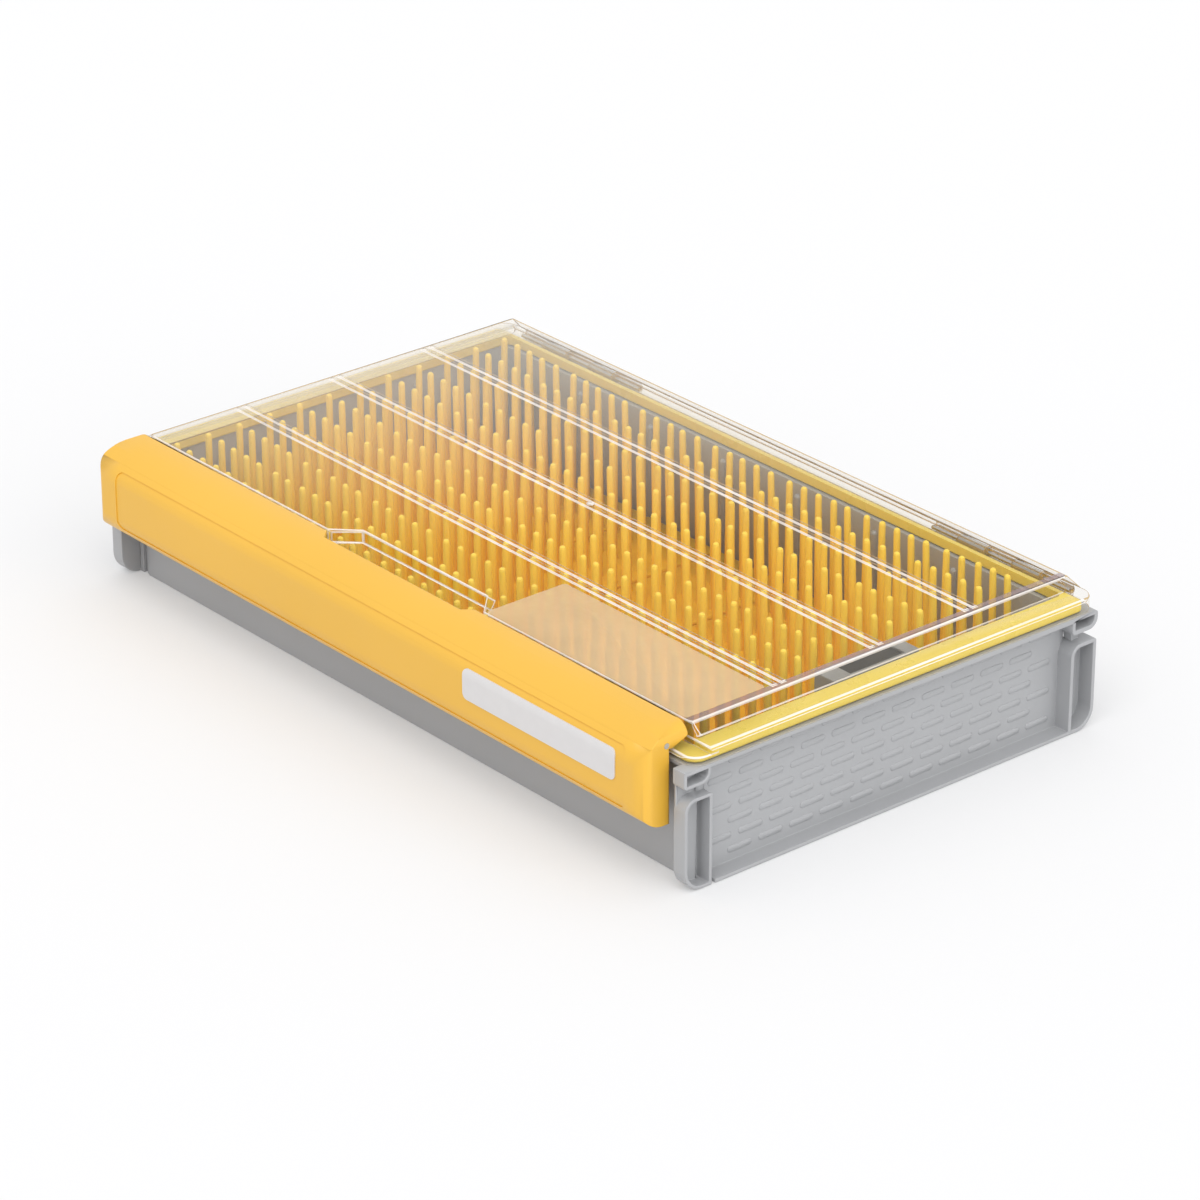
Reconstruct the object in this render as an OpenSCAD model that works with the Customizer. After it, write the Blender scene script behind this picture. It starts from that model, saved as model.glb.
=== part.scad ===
// Clear-lidded tackle box for hard lures: tub, soft tine mats, sealed lid and full-width latch.
// Millimetres. X runs along the latch side, +Y points to the hinges, +Z is up.
// The origin is the middle of the tub's underside.

/* [Tub] */
// Length of the tub over its two end walls
tub_l = 348.6; // [300:0.1:400]
// Depth of the tub over its front and rear walls
tub_w = 195.8; // [170:0.1:230]
// Height of the tub to the top of its rim
tub_h = 50.8; // [44:0.1:70]
// Wall thickness of the tub
wall_t = 2.2; // [1.6:0.1:3]
// Floor thickness of the tub
floor_t = 2.4; // [1.6:0.1:4]
// Corner radius of the tub walls in plan
tub_r = 6; // [4:0.5:12]
// How far the rim stands out past the end walls
rim_end_out = 7.5; // [6:0.1:9]
// How far the rim stands out past the front wall
rim_front_out = 4.9; // [4:0.1:6]
// How far the rim stands out past the rear wall
rim_rear_out = 7.6; // [7:0.1:9]
// Thickness of the rim
rim_t = 1.8; // [1.2:0.1:2.6]
// Corner radius of the rim in plan
rim_r = 8; // [5:0.5:12]
// Thickness of the ledge along the foot of each end
ledge_t = 1.5; // [1:0.1:2.5]
// Height of the corner posts
post_h = 38.6; // [30:0.1:41]
// Width of the corner posts along the end
post_w = 13.6; // [10:0.1:18]
// Wall of the corner posts and corner loops
post_t = 1.7; // [1.2:0.1:2.4]
// Radius at the foot of the corner posts
post_foot_r = 9; // [5:0.5:12]
// Radius at the head of the corner posts
post_head_r = 5.2; // [3:0.2:6]
// Height of the small loops under the rim at the corners
loop_h = 7.4; // [6:0.1:10]
// Radius of the half-round ribs on the inner walls
inner_rib_r = 1.6; // [1:0.1:2.4]
// Height of the half-round ribs on the inner walls
inner_rib_h = 42; // [30:1:46]

/* [Lid] */
// Height of the clear flange that lies on the rim
flange_h = 5.9; // [5.6:0.1:8]
// How far the raised middle stands above the flange
raise_h = 6; // [5.6:0.1:9]
// Thickness of the raised clear top
top_t = 2; // [1.4:0.1:2.6]
// Thickness of the clear flange top
flange_t = 1.3; // [1:0.1:2]
// Thickness of the flange's outer skirt
skirt_t = 1.9; // [1.2:0.1:2.4]
// How far the raised top starts inside the flange at the ends
raise_end_in = 11.8; // [11:0.1:16]
// How far the raised top starts behind the tub's front face
raise_front_in = 3.7; // [3.4:0.1:6]
// How far the raised top reaches past the tub's rear face
raise_rear_out = 1.6; // [0:0.1:2]
// Sideways slope of the raised walls
draft_out = 2; // [1:0.1:3]
// Width of the finger pocket at the lid's front edge
pocket_w = 98; // [60:1:120]
// Depth of the finger pocket from front to back
pocket_d = 10; // [6:0.5:12]
// Number of stiffening ribs on the lid
rib_count = 3; // [2:1:5]
// Distance between the stiffening ribs
rib_pitch = 49.3; // [30:0.1:56]
// Width of one ridge of a stiffening rib
ridge_w = 2.2; // [1.4:0.1:3]
// Gap between the two ridges of a stiffening rib
ridge_gap = 2.2; // [1:0.1:3]
// Height of the ridges
ridge_h = 0.7; // [0.4:0.1:0.9]
// Height of the seal under the flange
seal_h = 4.4; // [3.6:0.1:4.5]
// Width of the seal at the ends
seal_end_w = 9.4; // [6:0.1:9.6]
// Width of the seal at the front
seal_front_w = 8.2; // [5:0.1:8.4]
// Width of the seal at the hinge side
seal_rear_w = 3; // [2.4:0.1:3.2]

/* [Latch] */
// Distance of the latch cover's ends from the ends of the rim
latch_end_in = 10.8; // [10.5:0.1:30]
// How much further the latch cover reaches at its left end
latch_left_more = 3.7; // [0:0.1:4]
// Radius over the top of the latch cover's two ends
latch_end_r = 6; // [3:0.5:8]
// Height of the latch cover
latch_h = 38.9; // [36:0.1:42]
// How far the latch cover stands out from the tub's front face
latch_out = 20.9; // [19:0.1:24]
// Wall of the latch cover
latch_t = 1.8; // [1.4:0.1:2]
// Big radius over the top of the latch cover
latch_top_r = 28; // [26:0.5:30]
// Small radius between top and face of the latch cover
latch_nose_r = 9; // [6:0.5:10]
// Radius at the lower edge of the latch cover
latch_foot_r = 10.9; // [6:0.1:12]
// Plan radius of the latch cover's front corners
latch_corner_r = 6; // [3:0.5:8]
// Thickness of the latch cover's end caps
cap_t = 2; // [1.6:0.1:2.6]
// Depth of the shallow panel on the latch face
panel_depth = 0.4; // [0.2:0.05:0.6]
// Plain border at both ends of the shallow panel
panel_border = 10.5; // [6:0.5:16]
// Radius of the latch pin
pin_r = 1.15; // [0.9:0.05:1.3]
// Length of the blank label
label_l = 89; // [60:1:100]
// Height of the blank label
label_h = 12.8; // [8:0.1:14]
// Distance of the label's middle from the right end of the cover
label_in = 59.8; // [52:0.1:90]

/* [Tine mats] */
// Number of tine columns on a mat
mat_cols = 5; // [3:1:6]
// Number of tine rows on a mat
mat_rows = 12; // [8:1:13]
// Free floor between the left end wall and the mats
left_bay = 6.575; // [4:0.005:20]
// Distance of the first and last tine row from the mat's ends
row_end_in = 6.9; // [3:0.1:12]
// Width of a tine at its foot
tine_foot = 3.5; // [2.6:0.1:4]
// Width of a tine near its tip
tine_tip = 2.5; // [1.6:0.1:2.8]
// Thickness of the mat under the tines
mat_t = 2; // [1.4:0.1:3]
// Room between the highest tine tips and the lid
tip_room = 1.6; // [1:0.1:6]
// How much lower the tines in the middle of the box stand
tip_sag = 4.2; // [4:0.1:8]

/* [Moisture holder] */
// Length of the holder along the end wall
holder_l = 44; // [34:0.5:60]
// How far the holder stands out from the end wall
holder_w = 14.3; // [12:0.1:14.4]
// Height of the holder
holder_h = 42; // [30:0.5:46]
// How far the holder's top stands above the tub's rim
holder_up = 5; // [3:0.1:6]
// Wall of the holder
holder_t = 1.6; // [1.2:0.1:2]
// Length of the cartridge in the holder
cartridge_l = 28; // [20:0.5:31]

/* [Hinges] */
// Radius of the hinge barrels
barrel_r = 2.5; // [2.3:0.05:2.6]
// Radius of the hinge pins
hinge_pin_r = 0.9; // [0.7:0.05:1]
// Length of one hinge barrel
barrel_l = 15.4; // [10:0.1:17]
// Distance of each hinge's middle from the nearer end of the tub
hinge_end_in = 44.8; // [43:0.1:80]
// Distance of the hinge line behind the tub's rear face
hinge_out = 6.1; // [6:0.05:6.4]
// Height of the hinge line above the rim
hinge_up = 3.2; // [3.1:0.05:3.4]

/* [Hidden] */
$fn = 48;

// Clearances and the overrun of cuts
lid_gap = 0.3;
part_gap = 0.3;
pin_gap = 0.06;
slip_gap = 0.2;
cut = 1;

// Planes of the tub
end_x = tub_l / 2;
front_y = -tub_w / 2;
rear_y = tub_w / 2;
rim_x = end_x + rim_end_out;
rim_front_y = front_y - rim_front_out;
rim_rear_y = rear_y + rim_rear_out;
in_x = end_x - wall_t;
in_y = rear_y - wall_t;
in_r = tub_r - wall_t;

// Corner posts and loops
loop_front_out = 9.5;
loop_front_w = 13;
loop_t = 1.4;
post_front_out = 9;
post_front_w = 13.4;
post_rear_out = 7.6;
post_neck_in = 1.5;
post_back_in = 0.9;
post_back_t = 1.2;
post_floor_in = 0.3;
neck_in = 4.5;
neck_w = 4;
head_sharp_r = 1.2;
loop_r = 1.5;
loop_slope_r = 4.5;

// Planes of the lid
lid_z = tub_h + lid_gap;
flange_z = lid_z + flange_h;
lid_top_z = flange_z + raise_h;
raise_x = rim_x - raise_end_in;
raise_front_y = front_y + raise_front_in;
raise_rear_y = rear_y + raise_rear_out;
flange_front_out = 0.8;
flange_front_y = rim_front_y - flange_front_out;
flange_rear_in = 0.3;
flange_rear_y = rim_rear_y - flange_rear_in;
flange_r = 8;
raise_r = 5;
flange_edge = 1;
front_step = 2.4;
front_flange_z = flange_z - front_step;
skirt_rear_up = 0.3;
pocket_floor_up = 0.4;
pocket_z = flange_z + pocket_floor_up;
pocket_wall = 2;
rib_set_back = 0.3;
rib_end_in = 2.3;
ridge_step = (ridge_w + ridge_gap) / 2;

// Seal channel: everything inside the skirt and under the flange top
chan_x = rim_x - skirt_t;
chan_front_y = flange_front_y + skirt_t;
chan_rear_in = 5.2;
chan_rear_y = flange_rear_y - chan_rear_in;
chan_z = flange_z - flange_t;
chan_front_z = front_flange_z - flange_t;
seal_gap = 0.1;

// Hinge line
hinge_x = end_x - hinge_end_in;
hinge_y = rear_y + hinge_out;
hinge_z = tub_h + hinge_up;
barrel_count = 5;
barrel_gap = part_gap;
hinge_l = barrel_count * barrel_l;
hinge_relief = 0.3;
barrel_web_share = 0.6;

// Latch: outline is measured from the pin
latch_x1 = rim_x - latch_end_in;
latch_x0 = -latch_x1 - latch_left_more;
latch_face_y = front_y - latch_out;
pin_out = 8.8;
pin_up = 6.8;
pin_y = front_y - pin_out;
pin_z = tub_h + pin_up;
latch_over = 0.9;
latch_top_z = lid_top_z + latch_over;
latch_foot_z = latch_top_z - latch_h;
latch_rear_gap = 1.9;
latch_rear_y = raise_front_y - latch_rear_gap;
arc_set = 1.4;
arc_y = latch_rear_y - arc_set;
arc_z = latch_top_z - latch_top_r;
nose_y = latch_face_y + latch_nose_r;
nose_z = arc_z + sqrt(pow(latch_top_r - latch_nose_r, 2) - pow(arc_y - nose_y, 2));
nose_reach_share = 3;
foot_y = latch_face_y + latch_foot_r;
foot_z = latch_foot_z + latch_foot_r;
cap_rear_in = 1.5;
cap_rear_y = flange_front_y - cap_rear_in;
left_cap_room = 0.4;
left_cap_rear_y = front_y - loop_front_out - left_cap_room;
cap_slope_up = 4.5;
cap_low_up = 1;
lug_w = 6;
lug_wall = 1.05;
lug_r = pin_r + lug_wall;
lug_count = 6;
lug_end_in = 21;
lug_pitch = 2 * (latch_x1 - lug_end_in) / (lug_count - 1);
latch_rib_w = 4;
latch_rib_wall = 1.4;
catch_w = 40;
catch_t = 2;
catch_down = 0.5;
catch_gap = 0.6;
catch_pitch = 2 * lug_pitch;
notch_w = 94;
notch_d = 4;
pocket_slope_share = 1;
panel_low_up = 6;
panel_r = 3;
panel_top_down = 7.5;
label_r = 2.5;
label_proud = 0.1;
label_down = 16.4;

// Mats: the tips lean a little to the left and to the hinges
mat_count = 7;
mat_gap = 5.65;
holder_room = 0.275;
right_bay = holder_w + holder_room;
mats_set = (left_bay - right_bay) / 2;
mat_pitch = (2 * in_x - left_bay - right_bay) / mat_count;
col_pitch = mat_pitch / mat_cols;
mat_half_d = in_y - inner_rib_r - part_gap;
row_pitch = 2 * (mat_half_d - row_end_in) / (mat_rows - 1);
mat_z = floor_t + mat_t;
tip_lean_x = -2.6;
tip_lean_y = 1.4;
tip_draw = 0.63;
tine_sink = 0.5;
tine_point = 1;
tip_top_z = lid_top_z - top_t - tip_room;

// Moisture holder on the right end wall
holder_mid_y = 0;
holder_foot_z = tub_h + holder_up - holder_h;
holder_head_in = 2.9;
cartridge_mid_y = 1.5;
cartridge_down = 0.8;
cartridge_side = 1.5;

module plan_box(x0, x1, y0, y1, r, z0, z1) {
  translate([x0, y0, z0])
    linear_extrude(height = z1 - z0)
      plan_round(x1 - x0, y1 - y0, r);
}

module plan_round(w, d, r) {
  union() {
    translate([r, 0]) square([w - 2 * r, d]);
    translate([0, r]) square([w, d - 2 * r]);
    for (x = [r, w - r], y = [r, d - r]) translate([x, y]) circle(r = r);
  }
}

module box(x0, x1, y0, y1, z0, z1) {
  translate([x0, y0, z0]) cube([x1 - x0, y1 - y0, z1 - z0]);
}

// A flat outline in Y and Z, drawn out along X from x0 to x1
module along_x(x0, x1) {
  translate([x0, 0, 0]) rotate([90, 0, 90]) linear_extrude(height = x1 - x0) children();
}

// A flat outline in X and Z, drawn out along Y from y0 to y1
module along_y(y0, y1) {
  translate([0, y1, 0]) rotate([90, 0, 0]) linear_extrude(height = y1 - y0) children();
}

module both_ends() {
  children();
  mirror([1, 0, 0]) children();
}

// A flat outline whose corners have radii of their own, from the low left corner round to the upper left
module corner_outline(u0, u1, v0, v1, r) {
  union() {
    polygon(concat(
      r[0] > 0 ? [[u0, v0 + r[0]], [u0 + r[0], v0]] : [[u0, v0]],
      r[1] > 0 ? [[u1 - r[1], v0], [u1, v0 + r[1]]] : [[u1, v0]],
      r[2] > 0 ? [[u1, v1 - r[2]], [u1 - r[2], v1]] : [[u1, v1]],
      r[3] > 0 ? [[u0 + r[3], v1], [u0, v1 - r[3]]] : [[u0, v1]]));
    for (c = [[u0, v0, 1, 1, r[0]], [u1, v0, -1, 1, r[1]], [u1, v1, -1, -1, r[2]], [u0, v1, 1, -1, r[3]]])
      if (c[4] > 0) intersection() {
        translate([c[0] + c[2] * c[4], c[1] + c[3] * c[4]]) circle(r = c[4]);
        translate([c[0] - (c[2] < 0 ? c[4] : 0), c[1] - (c[3] < 0 ? c[4] : 0)]) square([c[4], c[4]]);
      }
  }
}

// Hollow post, open to the outside of the end, with its round foot on its outer side
module corner_post(w, t, outer_head_r, inner_head_r) {
  difference() {
    along_x(end_x - post_neck_in, rim_x)
      corner_outline(0, w, 0, post_h, [0, post_foot_r, outer_head_r, inner_head_r]);
    along_x(end_x + post_floor_in, rim_x + cut)
      corner_outline(t, w - t, t, post_h - t,
        [0, post_foot_r - t, max(0, outer_head_r - t), max(0, inner_head_r - t)]);
  }
}

// Small hollow loop under the rim, with its lower corner sloped on the side of the hinges
module corner_loop(w, t) {
  difference() {
    along_x(end_x - post_neck_in, rim_x) corner_outline(0, w, 0, loop_h, [loop_r, loop_slope_r, loop_r, loop_r]);
    along_x(end_x + post_floor_in, rim_x + cut)
      corner_outline(t, w - t, t, loop_h - rim_t, [0, loop_slope_r - t, 0, 0]);
  }
}

// The front corners leave room for the latch where they stand past the front wall
module tub_corners() {
  edge_y = front_y - max(post_front_out, loop_front_out);
  web_x = end_x + post_back_in;
  difference() {
    corner_blocks();
    box(end_x - post_neck_in - cut, web_x, edge_y - cut, front_y, -cut, tub_h + cut);
  }
  // web that closes the hollows and runs on from the post to the loop
  intersection() {
    along_x(web_x, web_x + post_back_t)
      translate([front_y, 0]) mirror([1, 0]) corner_outline(-cut, post_front_out, 0, tub_h, [0, post_foot_r, 0, 0]);
    box(web_x - cut, rim_x, front_y - loop_front_out + loop_t / 2, front_y + cut, -cut, tub_h - rim_t / 2);
  }
}

module corner_blocks() {
  // rear post and loop
  translate([0, rear_y + post_rear_out - post_w, 0]) corner_post(post_w, post_t, head_sharp_r, post_head_r);
  translate([0, rear_y + rim_rear_out - post_w, tub_h - loop_h]) corner_loop(post_w, post_t);
  // front post and loop
  translate([0, front_y - post_front_out + post_front_w, 0]) mirror([0, 1, 0])
    corner_post(post_front_w, loop_t, post_head_r, head_sharp_r);
  translate([0, front_y - loop_front_out, tub_h - loop_h]) corner_loop(loop_front_w, loop_t);
  // posts and loops join the rim, and the rim reaches out over the front loops
  box(end_x - post_neck_in, rim_x, front_y - loop_front_out, front_y, tub_h - rim_t, tub_h);
  for (y = [front_y, rear_y - neck_w / 2])
    box(end_x - post_neck_in, rim_x - neck_in, y, y + neck_w, post_h - post_t, tub_h - loop_h + post_t);
}

module wall_rib(h) {
  cylinder(r = inner_rib_r, h = h);
  translate([0, 0, h]) sphere(r = inner_rib_r);
}

module hinge_line(x0, x1, r) {
  translate([x0, hinge_y, hinge_z]) rotate([0, 90, 0]) cylinder(r = r, h = x1 - x0);
}

// Barrels are counted from 0 at the outer end of each hinge: even ones belong to the lid
module each_barrel(first) {
  for (side = [-1, 1], i = [first:2:barrel_count - 1])
    translate([side * hinge_x + (i - (barrel_count - 1) / 2) * barrel_l, 0, 0]) children();
}

module tub() color([0.68, 0.69, 0.69]) {
  half = (barrel_l - barrel_gap) / 2;
  difference() {
    union() {
      difference() {
        union() {
          plan_box(-end_x, end_x, front_y, rear_y, tub_r, 0, tub_h);
          plan_box(-rim_x, rim_x, rim_front_y, rim_rear_y, rim_r, tub_h - rim_t, tub_h);
          box(-rim_x, rim_x, front_y + tub_r, rear_y - tub_r, 0, ledge_t);
          both_ends() tub_corners();
        }
        plan_box(-in_x, in_x, -in_y, in_y, in_r, floor_t, tub_h + cut);
      }
      // half-round ribs on the inner walls, between the mats
      for (i = [1:mat_count - 1], s = [-1, 1])
        translate([mats_set + (i - mat_count / 2) * mat_pitch, s * in_y, floor_t - cut / 2])
          wall_rib(inner_rib_h + cut / 2);
      for (k = [-1, 1])
        translate([-in_x, k * row_pitch * mat_rows / 4, floor_t - cut / 2]) wall_rib(inner_rib_h + cut / 2);
      each_barrel(1) {
        hinge_line(-half, half, barrel_r);
        box(-half, half, hinge_y - barrel_r, hinge_y + barrel_r * barrel_web_share, tub_h - rim_t, hinge_z);
      }
    }
    for (side = [-1, 1])
      hinge_line(side * hinge_x - hinge_l / 2 - cut, side * hinge_x + hinge_l / 2 + cut, hinge_pin_r + pin_gap / 2);
  }
}

// One tine: a slim square peg with a small point, leaning from its foot to its tip
module tine(foot, tip, z0, z1) {
  a = tine_foot / 2;
  b = tine_tip / 2;
  zs = z1 - tine_point;
  polyhedron(
    points = [
      [foot[0] - a, foot[1] - a, z0], [foot[0] + a, foot[1] - a, z0],
      [foot[0] + a, foot[1] + a, z0], [foot[0] - a, foot[1] + a, z0],
      [tip[0] - b, tip[1] - b, zs], [tip[0] + b, tip[1] - b, zs],
      [tip[0] + b, tip[1] + b, zs], [tip[0] - b, tip[1] + b, zs],
      [tip[0], tip[1], z1]
    ],
    faces = [[0, 1, 2], [0, 2, 3],
      [0, 4, 5], [0, 5, 1], [1, 5, 6], [1, 6, 2], [2, 6, 7], [2, 7, 3], [3, 7, 4], [3, 4, 0],
      [4, 8, 5], [5, 8, 6], [6, 8, 7], [7, 8, 4]]
  );
}

// The tips draw together within a mat, and stand lower towards the middle of the box
module mat(index) color([0.93, 0.72, 0.30]) {
  mid = mats_set + (index - (mat_count - 1) / 2) * mat_pitch;
  span = mat_count * mat_pitch / 2;
  half_w = (mat_pitch - mat_gap) / 2;
  box(mid - half_w, mid + half_w, -mat_half_d, mat_half_d, floor_t, mat_z);
  for (c = [0:mat_cols - 1], r = [0:mat_rows - 1]) {
    off = c - (mat_cols - 1) / 2;
    x = mid + off * col_pitch;
    y = (r - (mat_rows - 1) / 2) * row_pitch;
    tx = x + tip_lean_x - off * tip_draw;
    ty = y + tip_lean_y;
    share = (tx - mats_set) / span;
    tine([x, y], [tx, ty], mat_z - tine_sink, tip_top_z - tip_sag * (1 - share * share));
  }
}

module tine_mat_1() mat(0);
module tine_mat_2() mat(1);
module tine_mat_3() mat(2);
module tine_mat_4() mat(3);
module tine_mat_5() mat(4);
module tine_mat_6() mat(5);
module tine_mat_7() mat(6);

// Well for the cartridge, open at the top
module holder_well(grow) {
  x1 = in_x - holder_head_in - cartridge_side - grow;
  x0 = in_x - holder_w + cartridge_side + grow;
  box(x0, x1, cartridge_mid_y - cartridge_l / 2 + grow, cartridge_mid_y + cartridge_l / 2 - grow,
    holder_foot_z + holder_t, tub_h + holder_up + (grow > 0 ? -cartridge_down : cut));
}

module moisture_holder() color([0.60, 0.61, 0.61]) {
  y0 = holder_mid_y - holder_l / 2;
  y1 = holder_mid_y + holder_l / 2;
  difference() {
    union() {
      box(in_x - holder_w, in_x, y0, y1, holder_foot_z, tub_h - rim_t);
      box(in_x - holder_w, in_x - holder_head_in, y0, y1, tub_h - rim_t, tub_h + holder_up);
    }
    holder_well(0);
  }
}

module moisture_cartridge() color([0.28, 0.28, 0.28]) holder_well(slip_gap);

module hinge_pin(side) color([0.75, 0.76, 0.78])
  hinge_line(side * hinge_x - hinge_l / 2 + part_gap, side * hinge_x + hinge_l / 2 - part_gap, hinge_pin_r);

module hinge_pin_left() hinge_pin(-1);
module hinge_pin_right() hinge_pin(1);

// Raised middle of the lid, with sloped sides; inset gives its hollow
module raised_block(inset, z0, z1) {
  slope = raise_rear_y + (lid_top_z - flange_z);
  intersection() {
    along_y(raise_front_y + inset, flange_rear_y + cut)
      polygon([[-raise_x - draft_out + inset, z0], [raise_x + draft_out - inset, z0],
        [raise_x + draft_out - inset, flange_z - inset], [raise_x - inset, z1],
        [-raise_x + inset, z1], [-raise_x - draft_out + inset, flange_z - inset]]);
    along_x(-rim_x, rim_x)
      polygon([[raise_front_y + inset, z0], [min(slope, flange_rear_y) - inset, z0],
        [min(slope, flange_rear_y) - inset, flange_z - inset], [raise_rear_y - inset, z1],
        [raise_front_y + inset, z1]]);
    plan_box(-raise_x - draft_out + inset, raise_x + draft_out - inset,
      raise_front_y + inset, flange_rear_y + rim_r, raise_r - inset, z0, z1);
  }
}

// Finger pocket in plan, widened towards the front; grow gives the wall round it
module pocket(grow, z0, z1) {
  d = pocket_d + grow;
  w = pocket_w / 2 + grow;
  slope = pocket_d * pocket_slope_share;
  translate([0, raise_front_y, z0])
    linear_extrude(height = z1 - z0)
      polygon([[-w, -cut], [w, -cut], [w, 0], [w - slope, d], [-w + slope, d], [-w, 0]]);
}

module lid_flange() {
  intersection() {
    plan_box(-rim_x, rim_x, flange_front_y, flange_rear_y, flange_r, lid_z, flange_z);
    along_y(flange_front_y, flange_rear_y)
      polygon([[-rim_x, lid_z], [rim_x, lid_z], [rim_x, flange_z - flange_edge],
        [rim_x - flange_edge, flange_z], [-rim_x + flange_edge, flange_z], [-rim_x, flange_z - flange_edge]]);
    along_x(-rim_x, rim_x)
      polygon([[flange_front_y, lid_z], [chan_rear_y, lid_z], [chan_rear_y + flange_edge, lid_z + skirt_rear_up],
        [flange_rear_y, lid_z + skirt_rear_up], [flange_rear_y, flange_z], [raise_front_y, flange_z],
        [raise_front_y, front_flange_z], [flange_front_y + flange_edge, front_flange_z],
        [flange_front_y, front_flange_z - flange_edge]]);
  }
}

module channel(gap, z0) {
  plan_box(-chan_x + gap, chan_x - gap, chan_front_y + gap, chan_rear_y - gap, flange_r - skirt_t - gap,
    z0, chan_front_z - gap);
  plan_box(-chan_x + gap, chan_x - gap, raise_front_y + skirt_t + gap, chan_rear_y - gap, raise_r - skirt_t - gap,
    z0, chan_z - gap);
}

module lid_shell() color([0.90, 0.92, 0.93, 0.35]) {
  half = (barrel_l - barrel_gap) / 2;
  reach = barrel_l / 2 + barrel_gap / 2;
  difference() {
    union() {
      difference() {
        union() {
          raised_block(0, lid_z + skirt_rear_up, lid_top_z);
          lid_flange();
        }
        difference() {
          intersection() {
            raised_block(top_t, lid_z - cut, lid_top_z - top_t);
            box(-rim_x, rim_x, raise_front_y, chan_rear_y, lid_z - 2 * cut, lid_top_z);
          }
          pocket(pocket_wall, pocket_z - flange_t, lid_top_z);
        }
        pocket(0, pocket_z, lid_top_z + cut);
        channel(0, lid_z - cut);
      }
      // ribs of two ridges each
      for (i = [0:rib_count - 1], s = [-1, 1]) {
        y = raise_rear_y - rib_set_back - (i + 1) * rib_pitch + s * ridge_step;
        box(-raise_x + rib_end_in, raise_x - rib_end_in, y - ridge_w / 2, y + ridge_w / 2,
          lid_top_z - ridge_h, lid_top_z + ridge_h);
      }
      each_barrel(0) {
        hinge_line(-half, half, barrel_r);
        box(-half, half, chan_rear_y + skirt_rear_up, hinge_y, hinge_z, hinge_z + barrel_r);
      }
      // lugs that carry the latch pin
      for (i = [0:lug_count - 1])
        translate([(i - (lug_count - 1) / 2) * lug_pitch - lug_w / 2, 0, 0]) {
          translate([0, pin_y, pin_z]) rotate([0, 90, 0]) cylinder(r = lug_r, h = lug_w);
          box(0, lug_w, pin_y - lug_r, flange_front_y + skirt_t, chan_front_z, pin_z);
        }
    }
    for (side = [-1, 1])
      hinge_line(side * hinge_x - hinge_l / 2 - cut, side * hinge_x + hinge_l / 2 + cut, hinge_pin_r + pin_gap);
    // room for the tub's barrels
    each_barrel(1) {
      hinge_line(-reach, reach, barrel_r + hinge_relief);
      box(-reach, reach, hinge_y - barrel_r - hinge_relief, rim_rear_y + barrel_r, lid_z - cut, hinge_z);
    }
    translate([-rim_x, pin_y, pin_z]) rotate([0, 90, 0]) cylinder(r = pin_r + pin_gap / 2, h = 2 * rim_x);
  }
}

module lid_seal() color([0.96, 0.87, 0.36]) {
  inner_x = chan_x - seal_end_w;
  inner_front_y = chan_front_y + seal_front_w;
  inner_rear_y = chan_rear_y - seal_rear_w;
  difference() {
    channel(seal_gap, lid_z);
    plan_box(-inner_x, inner_x, inner_front_y, inner_rear_y, raise_r - skirt_t, lid_z - cut, flange_z);
    plan_box(-rim_x, rim_x, flange_front_y - cut, flange_rear_y + cut, flange_r, lid_z + seal_h, flange_z);
  }
}

module latch_pin() color([0.75, 0.76, 0.78])
  translate([latch_x0, pin_y, pin_z]) rotate([0, 90, 0]) cylinder(r = pin_r, h = latch_x1 - latch_x0);

// Outline of the latch cover in Y and Z, drawn in by inset
module latch_outline(inset) {
  union() {
    intersection() {
      translate([arc_y, arc_z]) circle(r = latch_top_r - inset);
      translate([nose_y - latch_nose_r / 2, nose_z])
        square([latch_rear_y - nose_y + latch_nose_r / 2, latch_top_z - nose_z]);
      union() {
        translate([nose_y, nose_z]) square([latch_rear_y - nose_y, latch_top_z - nose_z]);
        polygon([[arc_y, arc_z],
          [nose_y + nose_reach_share * (nose_y - arc_y), nose_z + nose_reach_share * (nose_z - arc_z)],
          [nose_y, latch_top_z + latch_top_r], [arc_y, latch_top_z + latch_top_r]]);
      }
    }
    translate([nose_y, nose_z]) circle(r = latch_nose_r - inset);
    translate([latch_face_y + inset, foot_z]) square([latch_rear_y - latch_face_y - inset, nose_z - foot_z]);
    translate([foot_y, foot_z]) circle(r = latch_foot_r - inset);
    translate([foot_y, latch_foot_z + inset]) square([cap_rear_y - foot_y, foot_z - latch_foot_z - inset]);
  }
}

// What the end caps leave free behind the cover: the lid's front flange and the tub
module cap_back() {
  polygon([[cap_rear_y, latch_foot_z - cut], [cap_rear_y, front_flange_z + cap_low_up],
    [latch_rear_y, front_flange_z + cap_slope_up], [latch_rear_y + cut, front_flange_z + cap_slope_up],
    [latch_rear_y + cut, latch_foot_z - cut]]);
}

// Plan of the cover, with its two ends rounded over at the top
module latch_plan(inset, z0, z1) {
  intersection() {
    plan_box(latch_x0 + inset, latch_x1 - inset, latch_face_y + inset, latch_rear_y + 2 * latch_corner_r,
      latch_corner_r - inset, z0, z1);
    along_y(latch_face_y - cut, latch_rear_y + cut)
      corner_outline(latch_x0 + inset, latch_x1 - inset, z0 - cut, latch_top_z - min(inset, latch_t),
        [0, 0, latch_end_r - inset, latch_end_r - inset]);
  }
}

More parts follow.
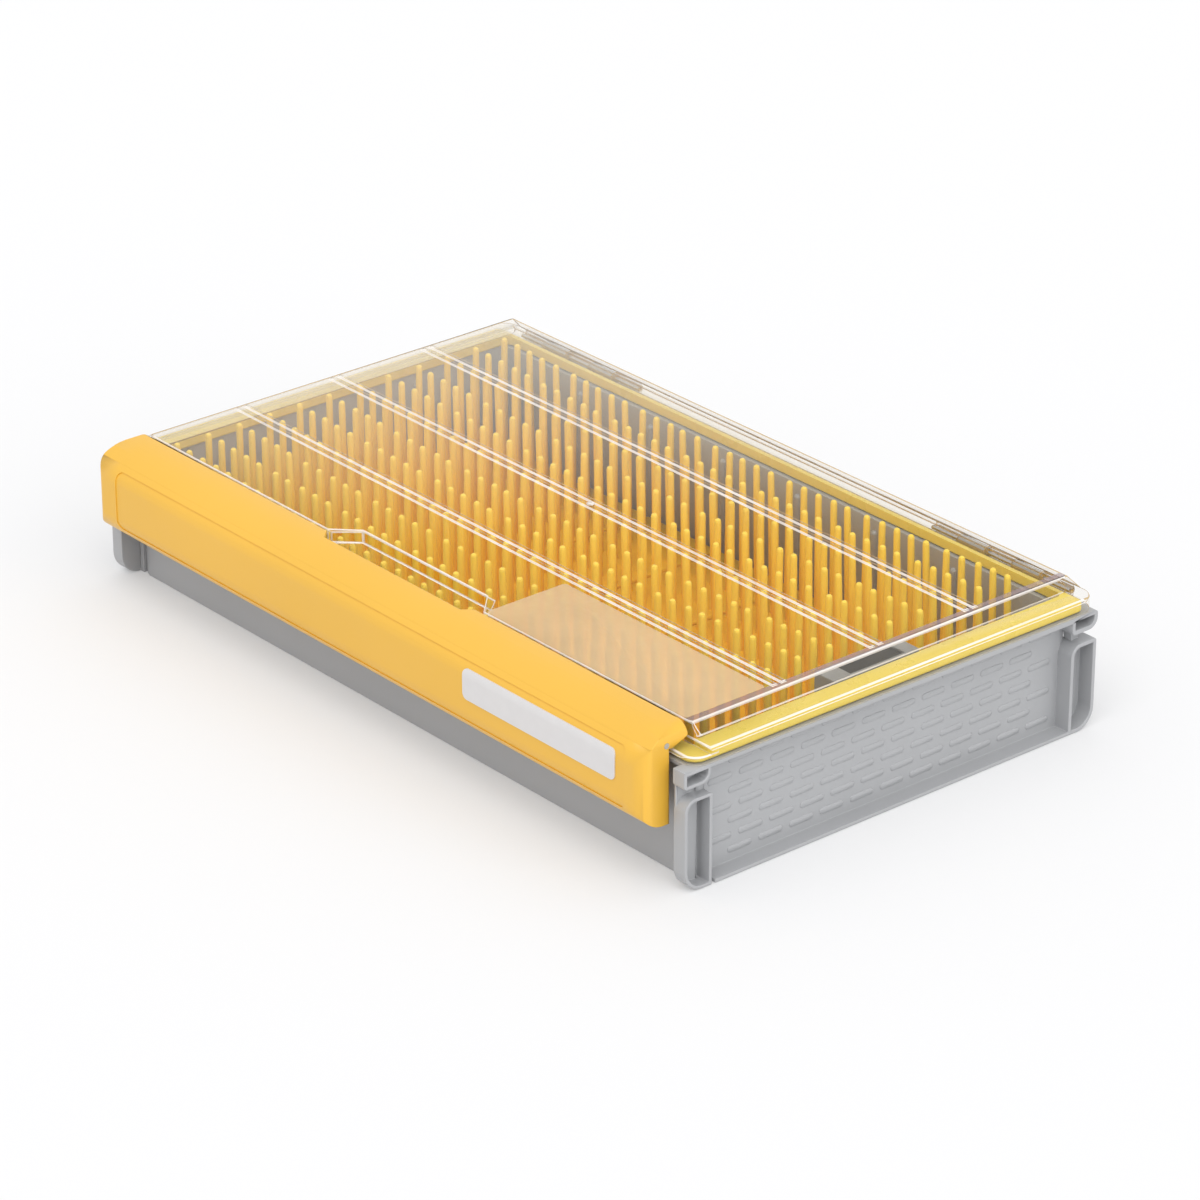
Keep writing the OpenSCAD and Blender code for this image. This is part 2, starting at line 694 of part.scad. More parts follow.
module latch_cover() color([0.98, 0.77, 0.33]) {
  x0 = latch_x0;
  x1 = latch_x1;
  panel_x = x1 - panel_border;
  catch_z = tub_h - rim_t - catch_down;
  lift = latch_top_z + cut;
  difference() {
    union() {
      difference() {
        intersection() {
          along_x(x0, x1) difference() {
            latch_outline(0);
            cap_back();
          }
          latch_plan(0, latch_foot_z - cut, lift);
        }
        intersection() {
          union() {
            along_x(x0, x1) difference() {
              latch_outline(latch_t);
              translate([latch_rear_y - cut, pin_z]) square([2 * cut, latch_top_r]);
            }
            box(x0, x1, latch_rear_y - latch_t - cut, latch_rear_y + cut, front_flange_z,
              latch_top_z - latch_t - slip_gap);
            // the lower edge ends where its curve runs out, so fingers can hook behind it
            box(x0, x1, foot_y, cap_rear_y + cut, latch_foot_z - cut, foot_z);
          }
          latch_plan(cap_t, latch_foot_z - cut, lift);
        }
      }
      // ribs that run on the latch pin
      for (i = [0:lug_count - 2])
        translate([(i - (lug_count - 2) / 2) * lug_pitch - latch_rib_w / 2, 0, 0]) {
          translate([0, pin_y, pin_z]) rotate([0, 90, 0]) cylinder(r = pin_r + latch_rib_wall, h = latch_rib_w);
          intersection() {
            box(0, latch_rib_w, pin_y - pin_r - latch_rib_wall, pin_y + pin_r + latch_rib_wall, pin_z, lift);
            along_x(0, latch_rib_w) latch_outline(latch_t / 2);
          }
        }
      // catches under the rim
      for (i = [-1, 0, 1])
        box(i * catch_pitch - catch_w / 2, i * catch_pitch + catch_w / 2, latch_face_y + latch_t / 2,
          rim_front_y - catch_gap, catch_z - catch_t, catch_z);
    }
    translate([x0 - cut, pin_y, pin_z]) rotate([0, 90, 0]) cylinder(r = pin_r + pin_gap, h = x1 - x0 + 2 * cut);
    // the longer left end stops in front of the tub's corner loop
    box(x0 - cut, x0 + latch_corner_r, left_cap_rear_y, cap_rear_y + cut, latch_foot_z - cut, pin_z - lug_r);
    // shallow panel on the face
    intersection() {
      along_y(latch_face_y - cut, nose_y)
        corner_outline(-panel_x, panel_x, latch_foot_z + panel_low_up, latch_top_z - panel_top_down,
          [panel_r, panel_r, panel_r, panel_r]);
      along_x(x0, x1) difference() {
        latch_outline(-cut);
        latch_outline(panel_depth);
      }
    }
    // shallow notch over the finger pocket
    translate([0, latch_rear_y, latch_top_z - latch_t - raise_h])
      linear_extrude(height = latch_t + raise_h + cut)
        polygon([[-notch_w / 2, cut], [notch_w / 2, cut], [notch_w / 2, 0], [notch_w / 2 - notch_d, -notch_d],
          [-notch_w / 2 + notch_d, -notch_d], [-notch_w / 2, 0]]);
  }
}

module label_plate() color([0.90, 0.89, 0.89]) {
  mid = latch_x1 - label_in;
  z = latch_top_z - label_down;
  intersection() {
    along_y(latch_face_y - cut, nose_y)
      translate([mid - label_l / 2, z - label_h / 2]) plan_round(label_l, label_h, label_r);
    along_x(mid - label_l, mid + label_l) difference() {
      latch_outline(-label_proud);
      latch_outline(panel_depth);
    }
  }
}

tub();
tine_mat_1();
tine_mat_2();
tine_mat_3();
tine_mat_4();
tine_mat_5();
tine_mat_6();
tine_mat_7();
moisture_holder();
moisture_cartridge();
hinge_pin_left();
hinge_pin_right();
lid_shell();
lid_seal();
latch_pin();
latch_cover();
label_plate();
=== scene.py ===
import math
import random

import bmesh
import bpy
from mathutils import Matrix, Vector
from mathutils.bvhtree import BVHTree


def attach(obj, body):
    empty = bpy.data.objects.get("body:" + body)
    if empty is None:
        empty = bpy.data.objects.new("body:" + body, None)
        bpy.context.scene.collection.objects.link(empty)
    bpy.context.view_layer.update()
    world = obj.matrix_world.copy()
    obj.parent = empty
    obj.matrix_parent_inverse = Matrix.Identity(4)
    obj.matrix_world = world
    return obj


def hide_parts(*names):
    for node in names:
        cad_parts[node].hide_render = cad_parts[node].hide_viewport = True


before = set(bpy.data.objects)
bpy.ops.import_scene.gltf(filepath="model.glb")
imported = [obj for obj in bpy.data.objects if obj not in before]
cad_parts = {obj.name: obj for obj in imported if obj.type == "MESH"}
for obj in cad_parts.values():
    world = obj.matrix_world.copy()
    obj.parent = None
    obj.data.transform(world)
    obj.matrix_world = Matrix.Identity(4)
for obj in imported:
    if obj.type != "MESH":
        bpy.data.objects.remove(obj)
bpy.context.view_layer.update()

bl_info = {
    "name": "Hard lure box",
    "version": (1, 0, 0),
    "blender": (4, 5, 0),
    "location": "3D View > Sidebar > Lure box",
    "description": "Finishes the packed lure box: tub, soft tines, clear lid, seal, latch and studio",
    "category": "Object",
}

MM = 0.001
TAB = "Lure box"
MATS = ["tine_mat_%d" % number for number in range(1, 8)]

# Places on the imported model, in metres

END_WALL_X = 174.3 * MM
TUB_FLOOR_Z = 2.4 * MM
MAT_TOP_Z = 4.4 * MM
MAT_HALF_DEEP = 93.8 * MM
LID_TOP_Z = 63.02 * MM

# The photograph's camera: place in metres, angles in degrees, lens and film in millimetres

EYE_PLACE = (1.3926, -1.1691, 0.8991)
EYE_DOWN = 25.79
EYE_TURN = 49.85
EYE_LENS = 150
EYE_FILM = 36

# Ways from the box to the two soft lights

KEY_WAY = (0.35, -0.45, 0.85)
FILL_WAY = (0.9, 0.1, 0.42)

# Slack for cuts, and the range in which nearly all noise values fall

HAIR = 0.001 * MM
NOISE_LOW = 0.3
NOISE_HIGH = 0.7


def screen(red, green, blue):
    """A colour given as the screen shows it, 0 to 255, as Blender's linear values."""
    shares = [value / 255 for value in (red, green, blue)]
    return tuple(s / 12.92 if s <= 0.04045 else ((s + 0.055) / 1.055) ** 2.4 for s in shares)


# Sizes and colours that a user may change

def length(name, description, millimetres):
    return bpy.props.FloatProperty(
        name=name, description=description, default=millimetres * MM, unit="LENGTH", precision=4)


def share(name, description, default):
    return bpy.props.FloatProperty(
        name=name, description=description, default=default, min=0, max=1, subtype="FACTOR")


def number(name, description, default):
    return bpy.props.FloatProperty(name=name, description=description, default=default)


def count(name, description, default):
    return bpy.props.IntProperty(name=name, description=description, default=default, min=1)


def colour(name, description, red, green, blue):
    return bpy.props.FloatVectorProperty(
        name=name, description=description, default=screen(red, green, blue), size=3,
        subtype="COLOR", min=0, max=1)


class TubFinish(bpy.types.PropertyGroup):
    shade: colour("Tub grey", "Colour of the moulded grey tub", 168, 169, 171)
    edge: length("Edge", "Rounding of the tub's edges", 0.35)
    pill_length: length("Pill length", "Length of one raised pill on the end walls", 12.2)
    pill_height: length("Pill height", "Height of one raised pill", 2.9)
    pill_relief: length("Pill relief", "How far a pill stands out of the wall", 0.32)
    pill_pitch: length("Pill pitch", "Distance between pills in a row", 15.5)
    pill_rise: length("Row pitch", "Distance between rows of pills", 6.27)
    pill_first: length("First row", "Height of the lowest row's middle", 6.3)
    pill_shift: length("Row shift", "How far every other row is moved sideways", 5.1)
    pill_middle: length("Row middle", "Middle of the rows between the corner posts", -1.0)
    pills: count("Pills in a row", "Number of pills in one row", 11)
    pill_rows: count("Rows of pills", "Number of rows on an end wall", 7)


class TineFinish(bpy.types.PropertyGroup):
    # Painted shade: the tines go from the light yellow at their tips to a darker, more orange yellow
    # near the mat, standing in for the shade and yellow bounce light down between them.
    shade: colour("Tine yellow", "Colour of the tines near their tips", 255, 220, 80)
    deep: colour("Deep yellow", "Colour of the tines near the mat", 255, 209, 34)
    inner: share("Inner light", "How much light soaks into the tines", 0.06)
    rows: count("Rows", "Tine rows on a mat", 12)
    columns: count("Columns", "Tine columns on a mat", 5)
    sides: count("Sides", "Sides of one round tine", 10)
    row_pitch: length("Row pitch", "Distance between tine rows", 15.8)
    column_pitch: length("Column pitch", "Distance between tine columns", 9.23)
    mats_middle: length("Middle of the mats", "Place of the middle mat along the box", -4)
    mat_gap: length("Gap", "Gap between two mats, through which the tub's floor shows", 1.6)
    fillet: length("Fillet", "Radius at the very bottom, where a tine grows out of the mat", 2.5)
    foot: length("Foot radius", "Radius of a tine above its fillet", 1.75)
    tip: length("Tip radius", "Radius of a tine under its rounded tip", 1.4)
    lean_left: length("Lean left", "How far the tips lean to the left", 2.6)
    lean_back: length("Lean back", "How far the tips lean to the hinges", 1.4)
    draw: number("Draw", "How much the tips of one mat draw together, in mm for each column", 0.63)
    sway: length("Sway", "How far single tips stray from their row", 0.35)
    top: length("Highest tips", "Height of the tips at the two ends of the box", 59.4)
    sag: length("Sag", "How much lower the tips stand in the middle of the box", 4.2)
    half_span: length("Half span", "Half the length of all the mats", 161.525)


class LidFinish(bpy.types.PropertyGroup):
    tint: colour("Lid tint", "Faint tint of the clear plastic", 253, 252, 250)
    edge: length("Edge", "Rounding of the lid's edges", 0.5)
    gloss: share("Gloss", "Share of light that a face throws back when seen from above", 0.015)
    rim_gloss: share("Rim gloss", "Share of light that a face throws back when seen along", 0.28)
    # Painted reflection: a share of milky gloss laid on the lid by place, rising towards its left
    # rear corner.
    corner_painted_reflection: share("Haze", "Share of light that the left rear corner throws back besides", 0.12)
    # Painted highlight: the clear plastic's rounded edges, low upright walls and gate mark are given
    # this light colour, which hides what lies behind them by the share below.
    edge_highlight: colour("Edge shade", "Colour of the clear plastic's light edges", 246, 241, 237)
    edge_highlight_share: share("Edge share", "How much a rounded edge of the clear plastic hides", 0.76)
    thin_wall: length("Thin wall", "Upright faces lower than this count as edges", 1.7)
    # Painted shade: the rolled top edge at the right end is given a dull purple-brown, standing in
    # for the darker things its curve bends into view.
    band_painted_shade: colour("Band shade", "Colour of the top's rolled edge at the right", 150, 127, 130)
    band_share: share("Band share", "How much the top's rolled edge at the right hides", 0.66)
    band_left: length("Band left", "Left side of the top's rolled edge at the right", 166.5)
    # Painted light: the seal's yellow, which the clear outermost edges bend into view, painted into
    # their colour at the left and rear.
    rim_painted_seal: colour("Rim shade", "Colour the seal lends to the outermost edges", 186, 150, 72)
    rim_left: length("Rim left", "Edges further left than this take the rim's colour", -168.7)
    rim_rear: length("Rim rear", "Edges further back than this take the rim's colour", 98.2)
    frost: share("Frost", "How much the frosted patch hides", 0.5)
    # Partly painted light: the frosted patch is a pale etched skin, and the warm beige of its colour
    # stands in for the yellow tines' light scattered up through it.
    frost_and_painted_tine_light: colour("Frost shade", "Colour of the frosted patch", 232, 202, 158)
    frost_left: length("Patch left", "Left end of the frosted patch", 50)
    frost_right: length("Patch right", "Right end of the frosted patch", 166.5)
    frost_front: length("Patch front", "Front edge of the frosted patch", -93.7)
    frost_rear: length("Patch rear", "Rear edge of the frosted patch", -54.2)
    frost_corner: length("Patch corner", "Corner radius of the frosted patch", 1.5)
    frost_skin: length("Patch skin", "Thickness of the frosted patch", 0.12)
    gate: length("Gate mark", "Radius of the small gate mark in the middle of the lid", 1.7)
    gate_height: length("Gate height", "Height of the gate mark", 0.4)
    seal: colour("Seal yellow", "Colour of the seal", 236, 213, 97)
    seal_inner: share("Seal inner light", "How much light soaks into the seal", 0.15)
    seal_edge: length("Seal edge", "Rounding of the seal's edges", 2.2)


class LatchFinish(bpy.types.PropertyGroup):
    shade: colour("Latch yellow", "Colour of the latch cover", 230, 179, 63)
    edge: length("Edge", "Rounding of the latch cover's edges", 1.4)
    end: length("End", "Distance from both ends at which the long faces are cut", 13)
    label: colour("Label", "Colour of the blank label", 212, 210, 210)


class FittingFinish(bpy.types.PropertyGroup):
    steel: colour("Steel", "Colour of the pins", 196, 197, 200)
    holder: colour("Holder grey", "Colour of the moisture holder", 153, 153, 152)
    cartridge: colour("Cartridge", "Colour of the moisture cartridge", 66, 65, 64)


class StudioLight(bpy.types.PropertyGroup):
    sky: number("Sky", "Strength of the even light from all round", 0.87)
    key: number("Key", "Strength of the soft light above and in front", 1.08)
    fill: number("Fill", "Strength of the soft light at the right end", 0.6)
    spread: bpy.props.FloatProperty(
        name="Spread", description="Angle that each soft light fills",
        default=math.radians(50), unit="ROTATION")
    floor_glow: share("Floor glow", "How much of the floor shows as plain white", 0.25)
    floor_shade: colour("Floor", "Colour of the floor", 232, 232, 233)
    floor_radius: bpy.props.FloatProperty(
        name="Floor radius", description="Radius of the round floor", default=6, unit="LENGTH")


# Shapes

def flat_plate(bm, width, depth, radius, segments):
    """A flat face with rounded corners, centred on the origin."""
    corners = [(-1, -1), (1, -1), (1, 1), (-1, 1)]
    verts = [bm.verts.new((x * width / 2, y * depth / 2, 0)) for x, y in corners]
    bm.faces.new(verts)
    just_short = radius * 0.9999  # two quarter rounds then meet in a half round without crossing
    bmesh.ops.bevel(
        bm, geom=verts, offset=just_short, offset_type="OFFSET", segments=segments,
        profile=0.5, affect="VERTICES", material=-1, clamp_overlap=False)
    bmesh.ops.remove_doubles(bm, verts=bm.verts, dist=radius * 0.001)
    return max(bm.faces, key=lambda face: face.calc_area())


def thicken(bm, face, height, edge):
    """Draws a flat face up to a closed plate with a sloped upper edge."""
    grown = bmesh.ops.extrude_face_region(bm, geom=[face])["geom"]
    verts = [item for item in grown if isinstance(item, bmesh.types.BMVert)]
    bmesh.ops.translate(bm, verts=verts, vec=(0, 0, height - edge))
    top = [item for item in grown if isinstance(item, bmesh.types.BMFace)]
    bmesh.ops.recalc_face_normals(bm, faces=bm.faces)
    bmesh.ops.inset_region(bm, faces=top, thickness=edge, depth=edge, use_even_offset=True)


def repeated(shape, places):
    """One bmesh that holds the shape once for each matrix in places."""
    pattern = bpy.data.meshes.new("pattern")
    shape.to_mesh(pattern)
    shape.free()
    bm = bmesh.new()
    for place in places:
        start = len(bm.verts)
        bm.from_mesh(pattern)
        bm.verts.ensure_lookup_table()
        bmesh.ops.transform(bm, matrix=place, verts=bm.verts[start:])
    bpy.data.meshes.remove(pattern)
    return bm


def join(bm, other):
    """Adds the other bmesh to this one, and frees it."""
    mesh = bpy.data.meshes.new("joined")
    other.to_mesh(mesh)
    other.free()
    bm.from_mesh(mesh)
    bpy.data.meshes.remove(mesh)


def cad_copy(node):
    """The node's own shape, with its loose triangles merged and paired into neat flat faces."""
    bm = bmesh.new()
    bm.from_mesh(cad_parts[node].data)
    bmesh.ops.remove_doubles(bm, verts=bm.verts, dist=2 * HAIR)
    flat = math.radians(0.4)
    inner = [
        edge for edge in bm.edges
        if len(edge.link_faces) == 2 and edge.calc_face_angle(1) < flat]
    bmesh.ops.beautify_fill(bm, faces=bm.faces, edges=inner, method="ANGLE")
    bmesh.ops.join_triangles(
        bm, faces=bm.faces, angle_face_threshold=flat, angle_shape_threshold=math.radians(120))
    return bm


def make_piece(bm, name, body, material, nodes=()):
    """Makes the bmesh a named piece that rides on a body and stands for the given nodes."""
    for face in bm.faces:
        face.smooth = True
    mesh = bpy.data.meshes.new(name)
    bm.to_mesh(mesh)
    bm.free()
    normals = mesh.attributes.get("custom_normal")
    if normals:
        mesh.attributes.remove(normals)
    mesh.materials.clear()
    mesh.materials.append(material)
    piece = bpy.data.objects.new(name, mesh)
    bpy.context.scene.collection.objects.link(piece)
    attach(piece, body)
    if nodes:
        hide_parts(*nodes)
    return piece


def room_beside(edge, face, shape, most):
    """How far a face runs on from the middle of one of its edges to the next step or fall."""
    aside = 0.02 * MM
    corner = next(loop for loop in face.loops if loop.edge is edge)
    along = (corner.link_loop_next.vert.co - corner.vert.co).normalized()
    inward = face.normal.cross(along)
    start = (edge.verts[0].co + edge.verts[1].co) / 2 + inward * aside
    room = most
    for side in (-aside, aside):
        distance = shape.ray_cast(start + face.normal * side, inward, most)[3]
        if distance is not None:
            room = min(room, distance)
    return room


def turn(edge, other, vert):
    """The angle by which the way turns at a vertex from one edge into another."""
    return (vert.co - edge.other_vert(vert).co).angle(other.other_vert(vert).co - vert.co, 0)


def runs(edges, corner):
    """Sorts edges into runs that go on without a corner."""
    left = set(edges)
    while left:
        run = [left.pop()]
        for edge in run:
            for vert in edge.verts:
                joined = [
                    other for other in vert.link_edges
                    if other in left and turn(edge, other, vert) < corner]
                left.difference_update(joined)
                run.extend(joined)
        yield run


def ends_in_corner(edge, vert, sharp, corner):
    """Whether a sharp edge meets another one at a corner at this vertex."""
    return any(
        other in sharp and turn(edge, other, vert) >= corner
        for other in vert.link_edges if other != edge)


def weigh_edges(bm, width, angle):
    """Gives each run of sharp edges the bevel weight that its faces have room for.

    A run is kept crisp where there is hardly any room, and left alone where it is very short.
    """
    weight = bm.edges.layers.float.new("bevel_weight_edge")
    limit = math.radians(angle)
    corner = math.radians(20)
    shortest = 3 * width
    most = 4 * width
    crisp = width / 6
    beside_parts = 2.2  # two roundings share the face between them
    length_parts = (0.01, 1.2, 2.2)  # for an edge with no, one or two corners at its ends
    shape = BVHTree.FromBMesh(bm)
    sharp = set()
    for edge in bm.edges:
        edge.smooth = True
        if len(edge.link_faces) == 2 and edge.calc_face_angle(0) > limit:
            sharp.add(edge)
    for run in runs(sharp, corner):
        if sum(edge.calc_length() for edge in run) < shortest:
            continue
        room = width
        for edge in run:
            beside = min(room_beside(edge, face, shape, most) for face in edge.link_faces)
            corners = sum(ends_in_corner(edge, vert, sharp, corner) for vert in edge.verts)
            along = edge.calc_length() / length_parts[corners]
            room = min(room, beside / beside_parts, along)
        for edge in run:
            if room > crisp:
                edge[weight] = room / width
            else:
                edge.smooth = False


def round_edges(piece, width, segments):
    """Rounds the weighted edges of a piece, and keeps its flat faces flat in their shading."""
    bevel = piece.modifiers.new("Rounded edges", "BEVEL")
    bevel.width = width
    bevel.segments = segments
    bevel.limit_method = "WEIGHT"
    bevel.use_clamp_overlap = False
    bevel.loop_slide = False
    shading = piece.modifiers.new("Flat faces stay flat", "WEIGHTED_NORMAL")
    shading.mode = "FACE_AREA"
    shading.keep_sharp = True


def cut(bm, geom, place, way):
    """Cuts the given geometry along a plane and keeps both sides."""
    bmesh.ops.bisect_plane(bm, geom=geom, dist=HAIR, plane_co=place, plane_no=way)


def cut_near_ends(bm, away):
    """Cuts the long faces near both ends, so that the shading of the ends stays there."""
    reach = [vert.co.x for vert in bm.verts]
    for x in (min(reach) + away, max(reach) - away):
        cut(bm, [*bm.verts, *bm.edges, *bm.faces], (x, 0, 0), (1, 0, 0))


def finished_copy(node, name, body, material, edge, segments=2, angle=28, end=0):
    """A piece with the node's own shape, whose edges sharper than the angle are rounded."""
    bm = cad_copy(node)
    if end:
        cut_near_ends(bm, end)
    weigh_edges(bm, edge, angle)
    piece = make_piece(bm, name, body, material, [node])
    round_edges(piece, edge, segments)
    return piece


def paint_node(node, material):
    """Gives a node that is shown as it is its finished material."""
    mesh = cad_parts[node].data
    mesh.materials.clear()
    mesh.materials.append(material)


# Materials

def new_material(name):
    material = bpy.data.materials.new(name)
    material.use_nodes = True
    tree = material.node_tree
    tree.nodes.clear()
    shader = tree.nodes.new("ShaderNodeBsdfPrincipled")
    output = tree.nodes.new("ShaderNodeOutputMaterial")
    tree.links.new(shader.outputs["BSDF"], output.inputs["Surface"])
    return material, tree, shader


def object_place(tree):
    return tree.nodes.new("ShaderNodeTexCoord").outputs["Object"]


def mapped(tree, value, start, end, low, high):
    """Maps a value from the range start to end onto the range low to high."""
    node = tree.nodes.new("ShaderNodeMapRange")
    node.inputs["From Min"].default_value = start
    node.inputs["From Max"].default_value = end
    node.inputs["To Min"].default_value = low
    node.inputs["To Max"].default_value = high
    tree.links.new(value, node.inputs["Value"])
    return node


def ramped(tree, value, low, high):
    """A colour that goes from low to high as the value goes from 0 to 1."""
    node = tree.nodes.new("ShaderNodeValToRGB")
    node.color_ramp.elements[0].color = [*low, 1]
    node.color_ramp.elements[1].color = [*high, 1]
    tree.links.new(value, node.inputs["Fac"])
    return node


def grain(tree, scale, detail=2.0, stretch=None):
    """Noise on object coordinates, with its scale in features per metre."""
    noise = tree.nodes.new("ShaderNodeTexNoise")
    noise.inputs["Scale"].default_value = scale
    noise.inputs["Detail"].default_value = detail
    source = object_place(tree)
    if stretch:
        mapping = tree.nodes.new("ShaderNodeMapping")
        mapping.inputs["Scale"].default_value = stretch
        tree.links.new(source, mapping.inputs["Vector"])
        source = mapping.outputs["Vector"]
    tree.links.new(source, noise.inputs["Vector"])
    return noise.outputs["Fac"]


def spread(tree, noise, low, high):
    """Spreads noise over the range from low to high."""
    return mapped(tree, noise, NOISE_LOW, NOISE_HIGH, low, high).outputs["Result"]


def varied(tree, base, change, noise):
    """The base colour, made darker and lighter by a small share as the noise goes."""
    darker = [c * (1 - change) for c in base]
    lighter = [min(1, c * (1 + change)) for c in base]
    ramp = ramped(tree, noise, darker, lighter)
    ramp.color_ramp.elements[0].position = NOISE_LOW
    ramp.color_ramp.elements[1].position = NOISE_HIGH
    return ramp.outputs["Color"]


def set_surface(tree, shader, shade, rough):
    """Gives a shader its colour and its roughness."""
    tree.links.new(shade, shader.inputs["Base Color"])
    tree.links.new(rough, shader.inputs["Roughness"])


def relief(tree, shader, noise, strength, depth):
    bump = tree.nodes.new("ShaderNodeBump")
    bump.inputs["Strength"].default_value = strength
    bump.inputs["Distance"].default_value = depth
    tree.links.new(noise, bump.inputs["Height"])
    tree.links.new(bump.outputs["Normal"], shader.inputs["Normal"])


def see_through(tree, shader, tint, amount):
    """Mixes the shader over a plain view through, by the amount."""
    clear = tree.nodes.new("ShaderNodeBsdfTransparent")
    clear.inputs["Color"].default_value = [*tint, 1]
    mix = tree.nodes.new("ShaderNodeMixShader")
    tree.links.new(amount, mix.inputs["Fac"])
    tree.links.new(clear.outputs["BSDF"], mix.inputs[1])
    tree.links.new(shader.outputs["BSDF"], mix.inputs[2])
    tree.links.new(mix.outputs["Shader"], tree.nodes["Material Output"].inputs["Surface"])


def moulded_plastic(name, base, rough, fine=900, change=0.025, strength=0.12):
    """Satin moulded plastic: fine spark grain, slight cloudiness and uneven gloss."""
    material, tree, shader = new_material(name)
    cloudiness = grain(tree, 14)
    gloss = grain(tree, 55, 3)
    spark = grain(tree, fine, 3)
    set_surface(
        tree, shader, varied(tree, base, change, cloudiness),
        spread(tree, gloss, rough - 0.05, rough + 0.06))
    relief(tree, shader, spark, strength, depth=0.06 * MM)
    shader.inputs["IOR"].default_value = 1.5
    return material


def soft_rubber(name, low, high, bottom, top, rough, inner):
    """Soft rubber that light soaks into, whose colour goes from low to high between two heights."""
    material, tree, shader = new_material(name)
    split = tree.nodes.new("ShaderNodeSeparateXYZ")
    tree.links.new(object_place(tree), split.inputs["Vector"])
    height = mapped(tree, split.outputs["Z"], bottom, top, 0, 1).outputs["Result"]
    gloss = grain(tree, 90, 3)
    pores = grain(tree, 700, 2)
    set_surface(
        tree, shader, ramped(tree, height, low, high).outputs["Color"],
        spread(tree, gloss, rough - 0.06, rough + 0.06))
    relief(tree, shader, pores, strength=0.15, depth=0.05 * MM)
    shader.inputs["IOR"].default_value = 1.45
    shader.inputs["Subsurface Weight"].default_value = inner
    shader.inputs["Subsurface Radius"].default_value = (1, 0.85, 0.6)
    shader.inputs["Subsurface Scale"].default_value = 2 * MM
    return material


def left_rear_painted_reflection(tree, corner_painted_reflection):
    """An amount that rises from nothing to the given share towards the left rear corner: painted
    reflection, which makes the lid milkier and glossier there by its place.
    """
    way = tree.nodes.new("ShaderNodeVectorMath")
    way.operation = "DOT_PRODUCT"
    way.inputs[1].default_value = (-0.8, 0.6, 0)
    tree.links.new(object_place(tree), way.inputs[0])
    reflection_share = mapped(tree, way.outputs["Value"], -0.05, 0.17, 0, corner_painted_reflection)
    reflection_share.interpolation_type = "SMOOTHSTEP"
    return reflection_share.outputs["Result"]


def clear_plastic(name, tint, facing_share, along_share, corner_painted_reflection):
    """Thin clear plastic, seen straight through, glossier where it is seen along, with painted
    reflection that grows towards the left rear corner.
    """
    material, tree, shader = new_material(name)
    shader.inputs["Base Color"].default_value = [*tint, 1]
    shader.inputs["IOR"].default_value = 1.5
    tree.links.new(spread(tree, grain(tree, 40, 4), 0.04, 0.1), shader.inputs["Roughness"])
    relief(tree, shader, grain(tree, 30, 2), strength=0.05, depth=0.2 * MM)
    slant = tree.nodes.new("ShaderNodeLayerWeight")
    slant.inputs["Blend"].default_value = 0.5
    gloss = mapped(tree, slant.outputs["Facing"], 0.6, 1, facing_share, along_share)
    both = tree.nodes.new("ShaderNodeMath")
    tree.links.new(gloss.outputs["Result"], both.inputs[0])
    tree.links.new(left_rear_painted_reflection(tree, corner_painted_reflection), both.inputs[1])
    see_through(tree, shader, tint, both.outputs["Value"])
    return material


def painted_seal_on_rim(tree, shade, rim_painted_seal, left, rear):
    """A colour that turns to the rim's painted colour left of one place and behind another: the
    seal's yellow, which the clear rim shows by bending light, painted in.
    """
    turn_width = 0.4 * MM
    split = tree.nodes.new("ShaderNodeSeparateXYZ")
    tree.links.new(object_place(tree), split.inputs["Vector"])
    either = tree.nodes.new("ShaderNodeMath")
    either.operation = "MAXIMUM"
    for slot, axis, start, way in ((0, "X", left, -1), (1, "Y", rear, 1)):
        past = mapped(tree, split.outputs[axis], start, start + way * turn_width, 0, 1)
        tree.links.new(past.outputs["Result"], either.inputs[slot])
    return ramped(tree, either.outputs["Value"], shade, rim_painted_seal).outputs["Color"]


def clear_band(name, tint, shade, share_hidden, rim=None):
    """A narrow band of the clear plastic, painted with a colour that stands in for light: a painted
    highlight on the edges, painted shade on the rolled edge, and where a rim is given, the seal's
    yellow painted on at the rim.
    """
    material, tree, shader = new_material(name)
    if rim:
        shown = painted_seal_on_rim(tree, shade, *rim)
    else:
        shown = varied(tree, shade, 0.04, grain(tree, 60))
    set_surface(tree, shader, shown, spread(tree, grain(tree, 80, 3), 0.12, 0.22))
    shader.inputs["IOR"].default_value = 1.5
    streaks = grain(tree, 25, 2)
    amount = spread(tree, streaks, share_hidden * 0.85, share_hidden * 1.15)
    see_through(tree, shader, tint, amount)
    return material


def frosted_skin(name, shade, hides):
    """Matt etched skin on the clear lid, partly see-through."""
    material, tree, shader = new_material(name)
    shader.inputs["Alpha"].default_value = hides
    cloudiness = grain(tree, 60)
    gloss = grain(tree, 400, 2)
    etching = grain(tree, 1500, 2)
    set_surface(
        tree, shader, varied(tree, shade, 0.03, cloudiness), spread(tree, gloss, 0.45, 0.6))
    relief(tree, shader, etching, strength=0.2, depth=0.04 * MM)
    return material


def drawn_steel(name, base):
    """Bright steel with fine lines along the pin, as drawing leaves them."""
    material, tree, shader = new_material(name)
    shader.inputs["Metallic"].default_value = 1
    lines = grain(tree, 200, 2, (1, 12, 12))
    gloss = grain(tree, 300, 2, (1, 10, 10))
    set_surface(tree, shader, varied(tree, base, 0.06, lines), spread(tree, gloss, 0.25, 0.4))
    return material


